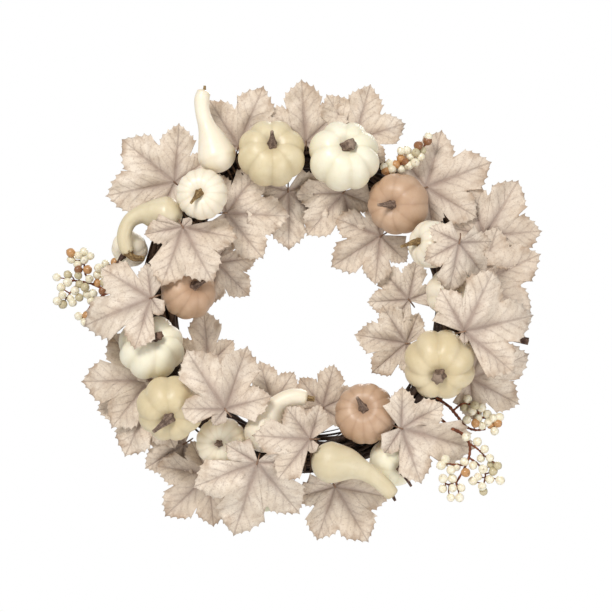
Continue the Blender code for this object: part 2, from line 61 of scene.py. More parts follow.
# Leaves: junction x, z; heading of the middle lobe in degrees from +X toward +Z; its length.
LEAF_SCALE = 1.06
LEAVES = {
    "leaf_01": (-154, 144, 138, 78),
    "leaf_02": (-79, 186, 69, 72),
    "leaf_03": (0, 191, 93, 72),
    "leaf_04": (57, 193, 72, 68),
    "leaf_05": (141, 138, 22, 78),
    "leaf_06": (210, 81, 59, 76),
    "leaf_07": (204, 27, 22, 77),
    "leaf_08": (174, 71, 259, 58),
    "leaf_09": (181, -30, 14, 84),
    "leaf_10": (192, -86, 22, 74),
    "leaf_11": (118, -45, 172, 58),
    "leaf_12": (121, 6, 130, 52),
    "leaf_13": (44, 132, 232, 64),
    "leaf_14": (88, 81, 212, 64),
    "leaf_15": (-21, 134, 270, 66),
    "leaf_16": (-94, 108, 0, 74),
    "leaf_17": (-142, 90, 299, 70),
    "leaf_18": (-106, 50, 315, 54),
    "leaf_19": (-178, 8, 202, 86),
    "leaf_20": (-183, -88, 180, 81),
    "leaf_21": (-182, -110, 245, 72),
    "leaf_22": (-143, -163, 212, 52),
    "leaf_23": (-114, -199, 222, 70),
    "leaf_24": (-56, -181, 254, 88),
    "leaf_25": (34, -213, 300, 72),
    "leaf_26": (5, -154, 178, 63),
    "leaf_27": (-92, -119, 125, 80),
    "leaf_28": (-114, -70, 97, 62),
    "leaf_29": (-40, -118, 108, 52),
    "leaf_30": (20, -121, 74, 50),
    "leaf_31": (110, -142, 342, 88),
}
# A leaf's lobes: angle from the middle lobe, and reach as a share of its length.
LOBES = ((-106, 0.64), (-51, 0.88), (0, 1.0), (51, 0.88), (106, 0.64))
# Lobes longer or shorter than usual: share of the usual reach, in the order of LOBES.
LOBE_SHARES = {
    "leaf_01": (1, 1, 1, 1.14, 1),
    "leaf_08": (1, 0.85, 1, 0.9, 1),
    "leaf_09": (0.25, 1, 1, 1, 1),
    "leaf_17": (0.95, 1.1, 1, 1, 0.3),
    "leaf_19": (0.7, 0.9, 1, 0.75, 0.4),
    "leaf_24": (0.75, 1, 1, 1, 0.8),
    "leaf_26": (1, 0.84, 1, 1, 0.4),
    "leaf_27": (1, 1, 1, 0.65, 0.4),
    "leaf_28": (0.6, 0.7, 1, 0.9, 1),
    "leaf_31": (0.6, 0.85, 1, 0.7, 0.85),
}
NOTCH_REACH = 0.68
BASE_NOTCH = (148, 0.44)
# One side of a lobe from its notch to its tip: along and across the lobe's axis, as shares of its reach.
LOBE_SIDE = ((0.63, 0.285), (0.715, 0.315), (0.725, 0.272), (0.80, 0.262), (0.80, 0.210),
             (0.88, 0.178), (0.875, 0.128), (0.945, 0.082), (0.94, 0.050))
SHORT_LOBE_SIDE = ((0.70, 0.34), (0.90, 0.22))  # of a lobe under two thirds of its usual reach
EDGE_CUTS = 2  # pieces that each stretch of the edge is cut into
LEAF_RINGS = 15
LEAF_SHEET = 0.45 * MM
VEIN_GROOVE = 1.9 * MM
FOLD_RISE = 17 * MM  # how fast the blade rises from a main vein, per unit of the leaf's length
CURL_RISE = 26 * MM  # how far a lobe's tip bends toward the front
BACK_CLEARANCE = 2 * MM
PETIOLE_DEPTH = RING_DEPTH * 0.75 * 0.2  # a petiole comes no nearer to the door

# Pumpkins: x, z, radius, lobes, crease depth, crown (right, up), stem lean (right, up), stem length
# and radius, finish of body and stem.
PUMPKINS = {
    "pumpkin_ochre_top": ((-40, 175), 40, 8, 0.1, (2, 13), (-1, 8), 16, 4.6, "ochre", "taupe"),
    "pumpkin_ivory_top": ((44, 172), 42, 8, 0.11, (3, 14), (6, -1), 9, 6.6, "ivory", "taupe"),
    "pumpkin_pink_right": ((107, 117), 36, 9, 0.05, (-12, -2), (-11, 0), 14, 4.4, "pink", "taupe"),
    "pumpkin_cream_right_upper": ((143, 70), 28, 8, 0.06, (-21, 4), (-8, -9), 15, 3.8, "cream", "golden"),
    "pumpkin_cream_right": ((167, 14), 29, 8, 0.06, (4, -3), (8, -5), 13, 3.6, "cream", "golden"),
    "pumpkin_ivory_right": ((154, -68), 42, 8, 0.11, (-2, -16), (-3, -1), 9, 7.0, "ochre_pale", "taupe"),
    "pumpkin_right_hidden": ((212, -26), 24, 8, 0.05, (18, -10), (12, 3), 27, 4.2, "gourd", "umber"),
    "pumpkin_pink_bottom": ((69, -126), 36, 12, 0.045, (-4, 10), (-6, 9), 14, 4.6, "pink", "taupe"),
    "pumpkin_cream_bottom_right": ((104, -181), 31, 8, 0.05, (8, -12), (8, -14), 13, 4.0, "ivory", "umber"),
    # Its body takes a brighter copy of cream: painted light against the shade it lies in.
    "pumpkin_cream_bottom_left": ((-98, -159), 30, 14, 0.04, (-3, -1), (-3, 0), 9, 3.8,
        "cream_bright", "taupe"),
    "pumpkin_ochre_left": ((-156, -118), 39, 8, 0.09, (1, -15), (-18, -9), 13, 5.4, "ochre", "taupe"),
    "pumpkin_ivory_left": ((-179, -49), 39, 8, 0.1, (7, 17), (5, -4), 13, 4.8, "ivory", "umber"),
    "pumpkin_pink_left": ((-137, 16), 33, 10, 0.055, (12, 9), (12, 3), 15, 4.4, "pink", "taupe"),
    "pumpkin_cream_top_left": ((-120, 128), 30, 14, 0.04, (-3, 1), (-8, -13), 11, 4.0, "cream", "golden"),
    "pumpkin_left_hidden": ((-207, 66), 22, 8, 0.05, (-9, -11), (-6, -8), 12, 3.0, "cream", "umber"),
    "pumpkin_bottom_hidden": ((-51, -225), 20, 8, 0.05, (-10, -13), (-6, -12), 14, 2.8, "sage", "umber"),
}
BLUNT_STEMS = ("pumpkin_ivory_top", "pumpkin_ivory_right", "pumpkin_ivory_left", "pumpkin_right_hidden")

# Gourds: x, z, radius along the neck, how many of the last points are stem, finish of body and stem.
GOURDS = {
    "gourd_cream_top_left": (
        ((-104, 176, 22.5), (-109, 192, 17), (-115, 208, 10.5), (-120, 224, 8.6), (-121, 238, 9),
         (-119, 247, 8.2), (-118, 250, 5), (-117.5, 255, 1.6)), "cream", "golden"),
    "gourd_ochre_bottom": (
        ((30, -182, 24), (48, -184, 19.5), (64, -190, 12.5), (79, -199, 10), (91, -209, 9.6),
         (99, -218, 8.5), (101, -222, 3), (103, -226, 1.6)), "gourd", "umber"),
    "gourd_cream_bottom": (
        ((-48, -147, 23), (-43, -131, 18.5), (-35, -118, 13), (-23, -109, 10.6), (-11, -106, 10),
         (-2, -107, 9), (2, -107.5, 4.6), (10, -108.5, 3.2)), "cream", "golden"),
    "gourd_ochre_left": (
        ((-165, 105, 21.5), (-180, 106, 16), (-193, 105, 10.8), (-205, 97, 8.8), (-211, 83, 8.4),
         (-210, 70, 8.2), (-207, 62, 7), (-201, 55, 4.6), (-188, 54, 3.4)), "gourd", "golden"),
}

# Sprays: branches, the first the one that carries the rest, and the berries by colour (x, z).
BRANCHES = {
    "spray_left": (
        ((-204, 18), (-222, 17), (-240, 20), (-256, 26), (-274, 29)),
        ((-256, 26), (-262, 40), (-262, 53)), ((-266, 28), (-276, 19), (-283, 9)),
        ((-228, 17), (-246, 8), (-257, -4), (-261, -15)), ((-216, 18), (-229, 34), (-230, 47))),
    "spray_top_right": (
        ((104, 160), (112, 165), (122, 171), (132, 178), (141, 190)),
        ((108, 163), (98, 161), (93, 157)), ((116, 168), (121, 163), (126, 165))),
    "spray_right_upper": (
        ((168, -119), (177, -130), (186, -141), (197, -146), (210, -145)),
        ((172, -123), (184, -115), (198, -119), (203, -131)), ((204, -131), (213, -133), (219, -137))),
    "spray_right_lower": (
        ((168, -142), (182, -150), (189, -162), (188, -176), (182, -190), (173, -206)),
        ((188, -176), (199, -184), (207, -195), (205, -207)), ((184, -185), (172, -184), (161, -183)),
        ((176, -201), (166, -207), (161, -206)), ((189, -160), (198, -166), (207, -175))),
}
BERRIES = {
    "spray_left": {
        "cream": ((-263, 63), (-255, 58), (-269, 59), (-278, 54), (-262, 53), (-270, 48), (-295, 33),
            (-256, 31), (-247, 36), (-238, 35), (-282, 27), (-290, 21), (-273, 17), (-252, 14), (-259, 13),
            (-288, 12), (-279, 8), (-294, 5), (-276, 3), (-254, 5), (-237, 49), (-269, -13), (-262, -20),
            (-245, 44)),
        "olive": ((-282, 36), (-269, 35), (-268, 25), (-239, 27), (-261, 21), (-288, 1), (-268, 9)),
        "tan": ((-278, 62), (-247, 26), (-258, 42), (-226, 51), (-259, -12)),
        "brown": ((-269, 42), (-241, 17)),
    },
    "spray_top_right": {
        "cream": ((143, 197), (118, 181), (111, 180), (122, 174), (127, 166), (120, 163), (98, 165),
            (100, 158), (111, 159), (134, 173), (91, 161)),
        "olive": ((136, 181), (128, 178)),
        "tan": ((111, 171), (105, 164), (93, 156)),
        "brown": ((142, 192), (131, 186), (116, 167)),
    },
    "spray_right_upper": {
        "cream": ((189, -110), (205, -120), (194, -124), (212, -128), (219, -132), (188, -134), (206, -141),
            (220, -147), (202, -132), (213, -137), (226, -131)),
        "olive": ((185, -120), (197, -117)),
        "tan": ((198, -138), (216, -140), (224, -138)),
        "brown": (),
    },
    "spray_right_lower": {
        "cream": ((198, -158), (185, -152), (206, -166), (202, -177), (212, -176), (193, -185), (183, -181),
            (204, -189), (199, -198), (212, -201), (224, -202), (193, -203), (203, -209), (161, -178),
            (156, -185), (167, -190), (174, -187), (158, -200), (169, -200), (158, -212), (169, -211),
            (179, -211), (167, -222), (177, -222)),
        "olive": ((214, -184), (221, -185), (216, -192), (205, -215)),
        "tan": ((184, -193),),
        "brown": (),
    },
}
SPRAY_FORWARD = {"spray_top_right": 2.2 * MM, "spray_right_upper": 2.8 * MM}  # clear of the leaf beside it
PEG_GAP = 2.8 * MM
BERRY_TONES = {"cream": 0.3, "olive": 0.78, "tan": 0.90, "brown": 0.98}
BERRY_RADIUS = 5.2 * MM

# The body of a CAD pumpkin, from which the depth of its middle is found.
CAD_LOBES = 8
CAD_LATITUDES = (52, 20, -12, -42, -68)
CAD_FULLNESS = 0.8
CAD_SQUAT = 0.82
CAD_BOTTOM = 0.62
# The body that is shown, as shares of its radius.
BODY_ROWS = 56
BODY_FULLNESS = 0.78  # under 1, the body is fuller than a sphere toward its crown and bottom
BODY_SQUAT = 0.80
CROWN_DIMPLE = 0.20
BOTTOM_DIMPLE = 0.16
GOURD_SIDES = 56
GOURD_STEM_POINTS = 2

VINES = 44
LOOSE_TWIGS = 34
TIES = 7
TIE_COILS = 3
TIE_RADIUS = 1.2 * MM
HANGER_WIRE = 0.8 * MM  # radius of the CAD loop's wire
STRAND_OFFSET = 0.36 * MM  # of each of the loop's two strands from its middle
STRAND_RADIUS = 0.40 * MM
STRAND_TURNS = 22

# Painted foam: its colour, that of the painted shade in its creases and round its stem (which also tints its
# speckle), that of its paler patches, and its roughness.
FRUIT_FINISHES = {
    "cream": ((236, 225, 203), (206, 187, 152), (240, 231, 212), 0.34),
    # A brighter copy of cream, painted light for a pumpkin that lies in shade among the leaves.
    "cream_bright": ((252, 240, 215), (216, 196, 160), (253, 244, 222), 0.34),
    "ivory": ((234, 227, 201), (206, 192, 154), (239, 233, 212), 0.34),
    "ochre": ((210, 193, 155), (168, 147, 106), (220, 206, 172), 0.36),
    "ochre_pale": ((210, 192, 153), (174, 152, 110), (218, 202, 168), 0.36),
    "pink": ((187, 153, 124), (146, 108, 80), (199, 168, 140), 0.38),
    "gourd": ((211, 197, 164), (176, 156, 116), (220, 208, 179), 0.32),
    "sage": ((204, 200, 168), (158, 154, 118), (212, 208, 180), 0.38),
}
# Stems: colour, the darker colour of the grain and of painted shade in the grooves, that of the cut end.
STEM_FINISHES = {
    "taupe": ((138, 116, 100), (84, 66, 56), (176, 154, 134)),
    "golden": ((158, 130, 84), (96, 72, 44), (196, 170, 120)),
    "umber": ((104, 76, 62), (58, 40, 34), (140, 110, 90)),
}

AMBIENT = 0.52
LENS = 135
SENSOR = 36
FRAME_WIDTH = 0.713  # what the camera takes in, FRAME_DEPTH before the door
FRAME_DEPTH = 0.06
FRAME_OFFSET = Vector((0.0, -0.001))


def srgb(*values):
    """Linear colour from 0-255 display values."""
    return tuple((v / 255 / 12.92) if v <= 10 else ((v / 255 + 0.055) / 1.055) ** 2.4 for v in values)


# Small helpers for meshes

def on_wreath(x, depth, z):
    """A table's millimetres as a place in the frame."""
    return x * MM + CENTRE.x, depth, z * MM + CENTRE.z


def new_mesh_object(name, points, faces):
    mesh = bpy.data.meshes.new(name)
    mesh.from_pydata([tuple(p) for p in points], [], [tuple(f) for f in faces])
    mesh.shade_smooth()
    obj = bpy.data.objects.new(name, mesh)
    bpy.context.scene.collection.objects.link(obj)
    return obj


def settle(obj, material, body):
    obj.data.materials.append(material)
    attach(obj, body)
    return obj


def set_points(obj, name, values):
    attribute = obj.data.attributes.new(name, "FLOAT", "POINT")
    attribute.data.foreach_set("value", np.asarray(values, np.float32))


def catmull(points, per_span):
    """A smooth curve through rows of numbers, with its ends held."""
    rows = np.asarray(points, float)
    rows = np.vstack([2 * rows[0] - rows[1], rows, 2 * rows[-1] - rows[-2]])
    made = []
    for a, b, c, d in zip(rows, rows[1:], rows[2:], rows[3:]):
        for t in np.arange(per_span) / per_span:
            made.append(0.5 * (2 * b + (c - a) * t + (2 * a - 5 * b + 4 * c - d) * t * t
                               + (3 * b - a - 3 * c + d) * t ** 3))
    made.append(rows[-2])
    return np.array(made)


def frames_along(line):
    """Tangent, side and up at each point of a line, without twist."""
    tangents = np.gradient(line, axis=0)
    tangents /= np.linalg.norm(tangents, axis=1)[:, None]
    first = np.cross(tangents[0], (0.0, 1.0, 0.05))
    side = first / np.linalg.norm(first)
    sides = []
    for tangent in tangents:
        side = side - tangent * side.dot(tangent)
        side = side / np.linalg.norm(side)
        sides.append(side)
    sides = np.array(sides)
    return tangents, sides, np.cross(tangents, sides)


def tube(line, radii, sides, ridges=0, ridge_depth=0.0, twist=0.0):
    """Points and faces of a closed tube about a line, whose section may be ridged and turn along it."""
    _, side, up = frames_along(line)
    around = np.arange(sides) * 2 * np.pi / sides
    points = []
    for index, (centre, a, b, radius) in enumerate(zip(line, side, up, radii)):
        phase = twist * index / len(line)
        wide = radius * (1 - ridge_depth * (0.5 - 0.5 * np.cos(ridges * around + phase)))
        points.append(centre + np.outer(wide * np.cos(around), a) + np.outer(wide * np.sin(around), b))
    points = np.concatenate(points)
    rows = len(line)
    faces = [(r * sides + i, r * sides + (i + 1) % sides,
              (r + 1) * sides + (i + 1) % sides, (r + 1) * sides + i)
             for r in range(rows - 1) for i in range(sides)]
    points = np.vstack([points, line[0], line[-1]])
    start, end = len(points) - 2, len(points) - 1
    faces += [(start, (i + 1) % sides, i) for i in range(sides)]
    last = (rows - 1) * sides
    faces += [(end, last + i, last + (i + 1) % sides) for i in range(sides)]
    return points, faces


def rows_of_faces(rows, across):
    """Quads between rows of points that run down a round body."""
    return [(r * across + i, (r + 1) * across + i, (r + 1) * across + (i + 1) % across,
             r * across + (i + 1) % across) for r in range(rows) for i in range(across)]


def joined(parts):
    """Several (points, faces) as one."""
    points, faces, start = [], [], 0
    for some_points, some_faces in parts:
        points.append(some_points)
        faces += [tuple(start + i for i in face) for face in some_faces]
        start += len(some_points)
    return np.vstack(points), faces


# Materials

class Nodes:
    """A short way to write a material's nodes."""

    def __init__(self, name):
        self.material = bpy.data.materials.new(name)
        self.material.use_nodes = True
        self.tree = self.material.node_tree
        self.shader = self.tree.nodes["Principled BSDF"]

    def add(self, kind, **settings):
        node = self.tree.nodes.new(kind)
        for key, value in settings.items():
            setattr(node, key, value)
        return node

    def link(self, source, target):
        if isinstance(source, (int, float)):
            target.default_value = source
        elif isinstance(source, tuple):
            target.default_value = (*source, 1)[:len(target.default_value)]
        else:
            self.tree.links.new(source, target)

    def maths(self, operation, *values):
        node = self.add("ShaderNodeMath", operation=operation)
        for value, socket in zip(values, node.inputs):
            self.link(value, socket)
        return node.outputs[0]

    def times(self, first, second):
        return self.maths("MULTIPLY", first, second)

    def noise(self, scale, detail=3.0, vector=None, roughness=0.5, distortion=0.0):
        node = self.add("ShaderNodeTexNoise")
        node.inputs["Scale"].default_value = scale
        node.inputs["Detail"].default_value = detail
        node.inputs["Roughness"].default_value = roughness
        node.inputs["Distortion"].default_value = distortion
        self.link(vector or self.place(), node.inputs["Vector"])
        return node.outputs["Fac"]

    def place(self):
        return self.add("ShaderNodeTexCoord").outputs["Object"]

    def attribute(self, name):
        return self.add("ShaderNodeAttribute", attribute_name=name).outputs["Fac"]

    def ramp(self, value, low, high, start=0.0, end=1.0):
        node = self.add("ShaderNodeMapRange", interpolation_type="SMOOTHSTEP")
        node.inputs["From Min"].default_value = low
        node.inputs["From Max"].default_value = high
        node.inputs["To Min"].default_value = start
        node.inputs["To Max"].default_value = end
        self.link(value, node.inputs["Value"])
        return node.outputs["Result"]

    def fall(self, value, low, high):
        """1 at low and under, 0 at high and over."""
        return self.maths("SUBTRACT", 1.0, self.ramp(value, low, high))

    def mix(self, share, first, second):
        node = self.add("ShaderNodeMix", data_type="RGBA")
        self.link(share, node.inputs["Factor"])
        self.link(first, node.inputs[6])
        self.link(second, node.inputs[7])
        return node.outputs[2]

    def tint(self, colour, where, share, shade):
        return self.mix(self.times(where, share), colour, shade)

    def bump(self, height, distance, strength=1.0, below=None):
        node = self.add("ShaderNodeBump")
        node.inputs["Strength"].default_value = strength
        node.inputs["Distance"].default_value = distance
        self.link(height, node.inputs["Height"])
        if below is not None:
            self.link(below, node.inputs["Normal"])
        return node.outputs["Normal"]

    def finish(self, colour, roughness, normal=None, **constants):
        self.link(colour, self.shader.inputs["Base Color"])
        self.link(roughness, self.shader.inputs["Roughness"])
        if normal is not None:
            self.link(normal, self.shader.inputs["Normal"])
        for name, value in constants.items():
            self.shader.inputs[name.replace("_", " ")].default_value = value
        return self.material


def leaf_material():
    """Printed blush fabric: mauve veins, cloudy blotches, fine speckle, browned rims and a fine weave, with
    painted shade along the veins and toward the centre.
    """
    n = Nodes("leaf_fabric")
    split = n.add("ShaderNodeSeparateXYZ")
    n.link(n.add("ShaderNodeUVMap", uv_map="lobe").outputs["UV"], split.inputs[0])
    along, across = split.outputs[0], n.maths("ABSOLUTE", split.outputs[1])
    stray = n.maths("SUBTRACT", n.noise(55, 3, roughness=0.6), 0.5)
    across = n.maths("ABSOLUTE", n.maths("MULTIPLY_ADD", stray, 0.022, across))
    width = n.maths("MULTIPLY_ADD", along, -0.014, 0.020)
    main = n.fall(n.maths("DIVIDE", across, width), 0.1, 2.2)
    # Painted shade in the valleys along the main veins, strongest near the leaf's centre.
    painted_vein_shade = n.fall(across, 0.0, 0.13)
    painted_vein_shade = n.times(painted_vein_shade, n.ramp(along, 1.0, 0.25))
    bowed = n.maths("MULTIPLY_ADD", n.times(across, across), -1.4, n.times(across, 1.5))
    phase = n.maths("DIVIDE", n.maths("SUBTRACT", along, bowed), 0.17)
    phase = n.maths("MULTIPLY_ADD", stray, 0.9, phase)
    off_line = n.maths("ABSOLUTE", n.maths("SUBTRACT", n.maths("FRACT", phase), 0.5))
    side = n.fall(off_line, 0.0, 0.085)
    side_shade = n.fall(off_line, 0.0, 0.30)
    reach = n.times(n.ramp(along, 0.10, 0.30), n.ramp(across, 0.33, 0.10))
    patchy = n.ramp(n.noise(70, 2), 0.36, 0.62, 0.15, 1.0)
    side = n.times(n.times(side, reach), patchy)
    side_shade = n.times(side_shade, reach)

    tone, edge, painted_centre_shade = n.attribute("tone"), n.attribute("edge"), n.attribute("painted_centre_shade")
    cloud = n.ramp(n.noise(30, 4, roughness=0.65, distortion=0.5), 0.36, 0.64)
    blotch = n.ramp(n.noise(95, 4, roughness=0.7), 0.44, 0.66)
    speckle = n.ramp(n.noise(430, 3, roughness=0.75), 0.52, 0.68)
    fleck = n.ramp(n.noise(900, 2), 0.56, 0.68)
    pale, dusk = srgb(237, 224, 207), srgb(212, 195, 176)
    mauve, brown = srgb(154, 133, 123), srgb(166, 139, 115)
    colour = n.mix(cloud, pale, srgb(223, 207, 187))
    colour = n.tint(colour, tone, 0.65, dusk)
    colour = n.tint(colour, blotch, 0.38, srgb(190, 169, 150))
    colour = n.tint(colour, fleck, 0.28, srgb(240, 230, 216))
    colour = n.tint(colour, speckle, 0.50, srgb(166, 142, 122))
    # Painted shade along the main veins.
    colour = n.tint(colour, painted_vein_shade, 0.52, mauve)
    colour = n.tint(colour, side_shade, 0.16, mauve)
    # Painted shade: mauve toward the leaf's centre, where the veins meet.
    colour = n.tint(colour, painted_centre_shade, 0.38, mauve)
    veins = n.maths("MAXIMUM", main, n.times(side, 0.45))
    colour = n.tint(colour, veins, 0.38, srgb(140, 117, 106))
    rim = n.times(edge, n.ramp(n.noise(60, 3), 0.46, 0.62, 0.05, 0.75))
    colour = n.mix(rim, colour, brown)

    warp, weft = (n.add("ShaderNodeTexWave", wave_type="BANDS", bands_direction=way) for way in "XZ")
    for thread in (warp, weft):
        thread.inputs["Scale"].default_value = 420
        thread.inputs["Distortion"].default_value = 0.4
        n.link(n.place(), thread.inputs["Vector"])
    cloth = n.times(warp.outputs["Fac"], weft.outputs["Fac"])
    normal = n.bump(n.maths("MAXIMUM", main, n.times(side, 0.8)), -0.0008, 0.7)
    normal = n.bump(n.noise(120, 4, roughness=0.6), 0.0016, 0.5, normal)
    normal = n.bump(cloth, 0.00012, 0.35, normal)
    roughness = n.ramp(cloud, 0, 1, 0.74, 0.86)
    return n.finish(colour, roughness, normal, Sheen_Weight=0.08, Sheen_Roughness=0.5,
                    Specular_IOR_Level=0.25)


def fruit_material(name, body, deep, blush, gloss):
    """Painted foam: a little mottled, with painted shade in the creases and round the stem, and a soft satin
    coat.
    """
    n = Nodes(f"fruit_{name}")
    crease, crown = n.attribute("crease"), n.attribute("crown")
    cloud = n.ramp(n.noise(34, 4, roughness=0.6), 0.35, 0.68)
    speckle = n.ramp(n.noise(520, 2), 0.60, 0.72)
    colour = n.mix(cloud, body, blush)
    # Painted shade: the creases and the dimple round the stem are darkened in the colour.
    colour = n.tint(colour, crease, 0.30, deep)
    colour = n.tint(colour, crown, 0.50, deep)
    colour = n.tint(colour, speckle, 0.12, deep)
    normal = n.bump(n.noise(150, 3), 0.0006, 0.22)
    normal = n.bump(n.noise(1400, 2), 0.00008, 0.3, normal)
    roughness = n.ramp(n.noise(60, 3), 0.3, 0.7, gloss, gloss + 0.14)
    return n.finish(colour, roughness, normal, Subsurface_Weight=0.12,
                    Subsurface_Radius=(0.006, 0.004, 0.002), Subsurface_Scale=0.6,
                    Coat_Weight=0.12, Coat_Roughness=0.35, Specular_IOR_Level=0.42)


def stem_material(name, body, dark, light):
    """Fibrous stem: streaks along it, painted shade in its grooves, pale where it was cut."""
    n = Nodes(f"stem_{name}")
    groove, cut = n.attribute("crease"), n.attribute("crown")
    grain = n.noise(230, 5, roughness=0.65, distortion=0.6)
    colour = n.mix(n.ramp(grain, 0.35, 0.65), dark, body)
    # Painted shade: the grooves between the ridges are darkened in the colour.
    colour = n.tint(colour, groove, 0.6, dark)
    colour = n.mix(n.ramp(n.noise(520, 2), 0.55, 0.75, 0, 0.5), colour, light)
    colour = n.tint(colour, cut, 0.6, light)
    normal = n.bump(grain, 0.0006, 0.7)
    return n.finish(colour, n.ramp(grain, 0.3, 0.7, 0.75, 0.55), normal, Specular_IOR_Level=0.35)


def berry_material():
    """Lacquered foam berries, most cream, some olive, tan or brown, each with a dark tip."""
    n = Nodes("berry")
    kind, tip = n.attribute("tone"), n.attribute("crown")
    cloud = n.noise(300, 3)
    colour = n.mix(n.ramp(cloud, 0.35, 0.65), srgb(240, 234, 214), srgb(226, 215, 186))
    colour = n.mix(n.ramp(kind, 0.70, 0.74), colour, srgb(196, 184, 150))
    colour = n.mix(n.ramp(kind, 0.82, 0.86), colour, srgb(190, 142, 92))
    colour = n.mix(n.ramp(kind, 0.94, 0.96), colour, srgb(142, 96, 62))
    colour = n.tint(colour, tip, 0.7, srgb(120, 88, 62))
    normal = n.bump(n.noise(700, 2), 0.0002, 0.35)
    return n.finish(colour, n.ramp(cloud, 0.3, 0.7, 0.28, 0.42), normal, Coat_Weight=0.25,
                    Coat_Roughness=0.2, Subsurface_Weight=0.08, Subsurface_Radius=(0.003, 0.002, 0.001))


def twig_material(name, dark, body, light):
    """Bark: long streaks, lenticels and worn pale patches."""
    n = Nodes(name)
    place = n.place()
    streak = n.noise(160, 5, place, 0.65, 0.8)
    patch = n.ramp(n.noise(38, 3, place), 0.42, 0.68)
    colour = n.mix(n.ramp(streak, 0.35, 0.68), dark, body)
    colour = n.mix(n.times(patch, n.ramp(streak, 0.5, 0.75)), colour, light)
    colour = n.mix(n.times(n.attribute("tone"), 0.5), colour, light)
    normal = n.bump(streak, 0.0008, 0.8)
    return n.finish(colour, n.ramp(streak, 0.3, 0.7, 0.82, 0.6), normal, Specular_IOR_Level=0.3)


def wire_material():
    """Galvanised steel wire, dull with fine drawing marks."""
    n = Nodes("galvanised_wire")
    marks = n.noise(900, 4, roughness=0.7)
    stain = n.ramp(n.noise(120, 3), 0.45, 0.7)
    colour = n.mix(stain, srgb(176, 178, 182), srgb(128, 126, 124))
    return n.finish(colour, n.ramp(marks, 0.3, 0.7, 0.32, 0.52), n.bump(marks, 0.0001, 0.5), Metallic=0.9)


# Leaves

def unit(degrees):
    angle = math.radians(degrees)
    return np.array((math.cos(angle), math.sin(angle)))


def lobe_frame(point, angle, reach):
    axis = unit(angle)
    across = np.array((-axis[1], axis[0]))
    return np.array((point @ axis, point @ across)) / reach


def leaf_edge(name, rng):
    """The edge, counterclockwise from the petiole, and for each stretch of it the lobe it belongs to."""
    shares = LOBE_SHARES.get(name, (1,) * len(LOBES))
    lobes = [(angle + rng.uniform(-3, 3), reach * share * rng.uniform(0.96, 1.02))
             for (angle, reach), share in zip(LOBES, shares)]
    base_angle, base_reach = BASE_NOTCH
    corners, owners = [unit(-base_angle) * base_reach * min(1, shares[0])], []
    for index, (angle, reach) in enumerate(lobes):
        axis = unit(angle)
        across = np.array((-axis[1], axis[0]))
        profile = LOBE_SIDE if shares[index] > 0.66 else SHORT_LOBE_SIDE
        jitter = rng.uniform(-0.010, 0.010, (4, len(profile)))
        low = [(axis * (s + j) - across * (t + k)) * reach for (s, t), j, k in zip(profile, *jitter[:2])]
        high = [(axis * (s + j) + across * (t + k)) * reach for (s, t), j, k in zip(profile, *jitter[2:])]
        stretch = [*low, axis * reach, *reversed(high)]
        if index < len(lobes) - 1:
            next_angle, next_reach = lobes[index + 1]
            deep = NOTCH_REACH * min(reach, next_reach)
            stretch.append(unit((angle + next_angle) / 2) * deep)
        corners += stretch
        owners += [index] * len(stretch)
    corners.append(unit(base_angle) * base_reach * min(1, shares[-1]))
    owners.append(len(lobes) - 1)
    corners += [unit(176) * 0.035, unit(184) * 0.035, corners[0]]
    owners += [len(lobes) - 1, None, 0]
    edge, lobe_of = [], []
    for start, end, owner in zip(corners, corners[1:], owners):
        for step in range(EDGE_CUTS):
            share = step / EDGE_CUTS
            sag = 1 - 0.012 * math.sin(math.pi * share)
            edge.append((start + (end - start) * share) * sag)
            lobe_of.append(owner)
    return np.array(edge), lobe_of, lobes


def thin_plate(known, values, wanted, stiffness):
    """A smooth surface near the known heights, read at the wanted points."""
    def kernel(a, b):
        r = np.linalg.norm(a[:, None] - b[None], axis=2)
        return r * r * np.log(np.maximum(r, 1e-9))
    count = len(known)
    flat = np.hstack([np.ones((count, 1)), known])
    system = np.zeros((count + 3, count + 3))
    system[:count, :count] = kernel(known, known) + stiffness * np.eye(count)
    system[:count, count:] = flat
    system[count:, :count] = flat.T
    weights = np.linalg.solve(system, np.concatenate([values, np.zeros(3)]))
    return kernel(wanted, known) @ weights[:count] + weights[count] + wanted @ weights[count + 1:]


def cad_height(node, wanted):
    """How high the node's sheet lies over points of the door plane, as a smooth surface."""
    points = np.array([v.co[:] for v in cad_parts[node].data.vertices])
    points = np.unique(points.round(6), axis=0)
    cells = {}
    for point in points:
        cells.setdefault((round(point[0] / 0.0015), round(point[2] / 0.0015)), []).append(point)
    middle = np.array([np.mean(group, axis=0) for group in cells.values()])
    scale = 0.05
    return thin_plate(middle[:, [0, 2]] / scale, middle[:, 1], wanted / scale, 0.004)


